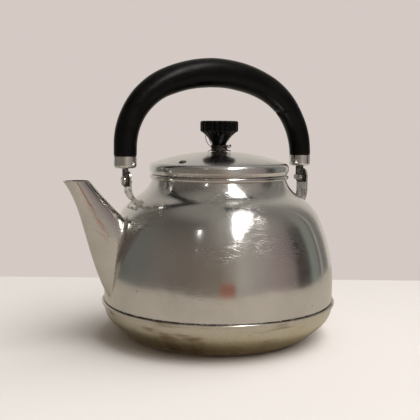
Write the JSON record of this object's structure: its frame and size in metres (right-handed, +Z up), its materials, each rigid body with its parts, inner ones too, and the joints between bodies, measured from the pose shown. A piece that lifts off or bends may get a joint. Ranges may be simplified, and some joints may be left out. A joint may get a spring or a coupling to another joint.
{
  "type": "stovetop kettle",
  "caption": "Round stovetop kettle with a wide hemmed base, tapered open spout, swinging bail handle with a black grip, and a domed lift-off lid with a fluted knob.",
  "frame": {"origin": "centre of the flat bottom, on the surface the kettle stands on", "axes": "+Z up along the body's axis, the spout points along -X, the bail swings about the X direction"},
  "size_m": [0.2588, 0.22, 0.2586],
  "materials": {
    "worn_steel": "polished, finely scratched",
    "stained_steel": "polished, heat stained",
    "satin_steel": "satin, spun",
    "lug_steel": "bright, worn",
    "dark_steel": "tarnished",
    "dark_wire": "tarnished",
    "ferrule_chrome": "bright",
    "insert_brass": "turned",
    "black_bakelite": "moulded, scuffed"
  },
  "bodies": {
    "kettle": {"body_shell": "worn_steel", "base_pan": "stained_steel", "neck_collar": "worn_steel", "spout": "worn_steel", "lug_spout_side": "lug_steel", "lug_rear": "lug_steel", "pivot_rivet_spout_side": "lug_steel", "pivot_rivet_rear": "lug_steel"},
    "bail": {"handle_core": "dark_steel", "ferrule_spout_side": "ferrule_chrome", "ferrule_rear": "ferrule_chrome", "grip_main": "black_bakelite", "grip_broken_end": "black_bakelite"},
    "lid": {"lid_shell": "satin_steel", "lid_sleeve": "satin_steel", "lid_knob": "black_bakelite", "knob_insert": "insert_brass", "knob_screw": "lug_steel", "knob_washer": "lug_steel", "binding_wire": "dark_wire"}
  },
  "joints": [
    {"name": "bail_swing", "type": "hinge", "parent": "kettle", "child": "bail", "pos_m": [0, 0, 0.147], "axis": [1, 0, 0], "range_deg": [-95, 95]},
    {"name": "lid_lift", "type": "slide", "parent": "kettle", "child": "lid", "axis": [0, 0, 1], "range_m": [0, 0.026]}
  ]
}
